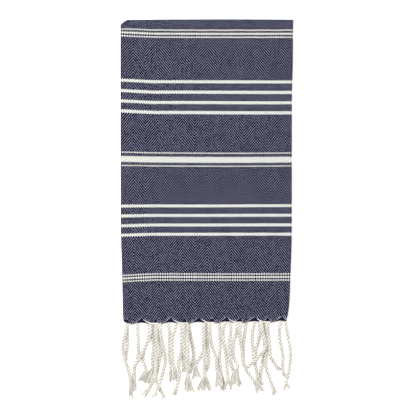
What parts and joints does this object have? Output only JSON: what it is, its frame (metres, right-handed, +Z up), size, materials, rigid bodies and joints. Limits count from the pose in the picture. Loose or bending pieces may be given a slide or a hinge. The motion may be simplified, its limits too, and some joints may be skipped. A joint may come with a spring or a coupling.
{
  "type": "folded hand towel",
  "caption": "Flat-woven cotton hand towel with cream stripes and a twisted, knotted fringe, folded in half both ways and lying flat.",
  "frame": {"origin": "centre of the folded towel's outline with its fringe spread out, on the surface that it lies on", "axes": "+Z up off the surface, +Y from the fringe towards the crosswise fold, +X from the lengthwise fold towards the selvages"},
  "size_m": [0.2306, 0.5081, 0.0128],
  "materials": {
    "navy_weave": "matt cotton twill, navy weft on cream warp, with cream weft stripes",
    "cream_cord": "matt twisted cotton warp ends"
  },
  "bodies": {
    "root": {"cloth": "navy_weave", "fringe_back": "cream_cord", "fringe_front": "cream_cord"}
  },
  "joints": []
}
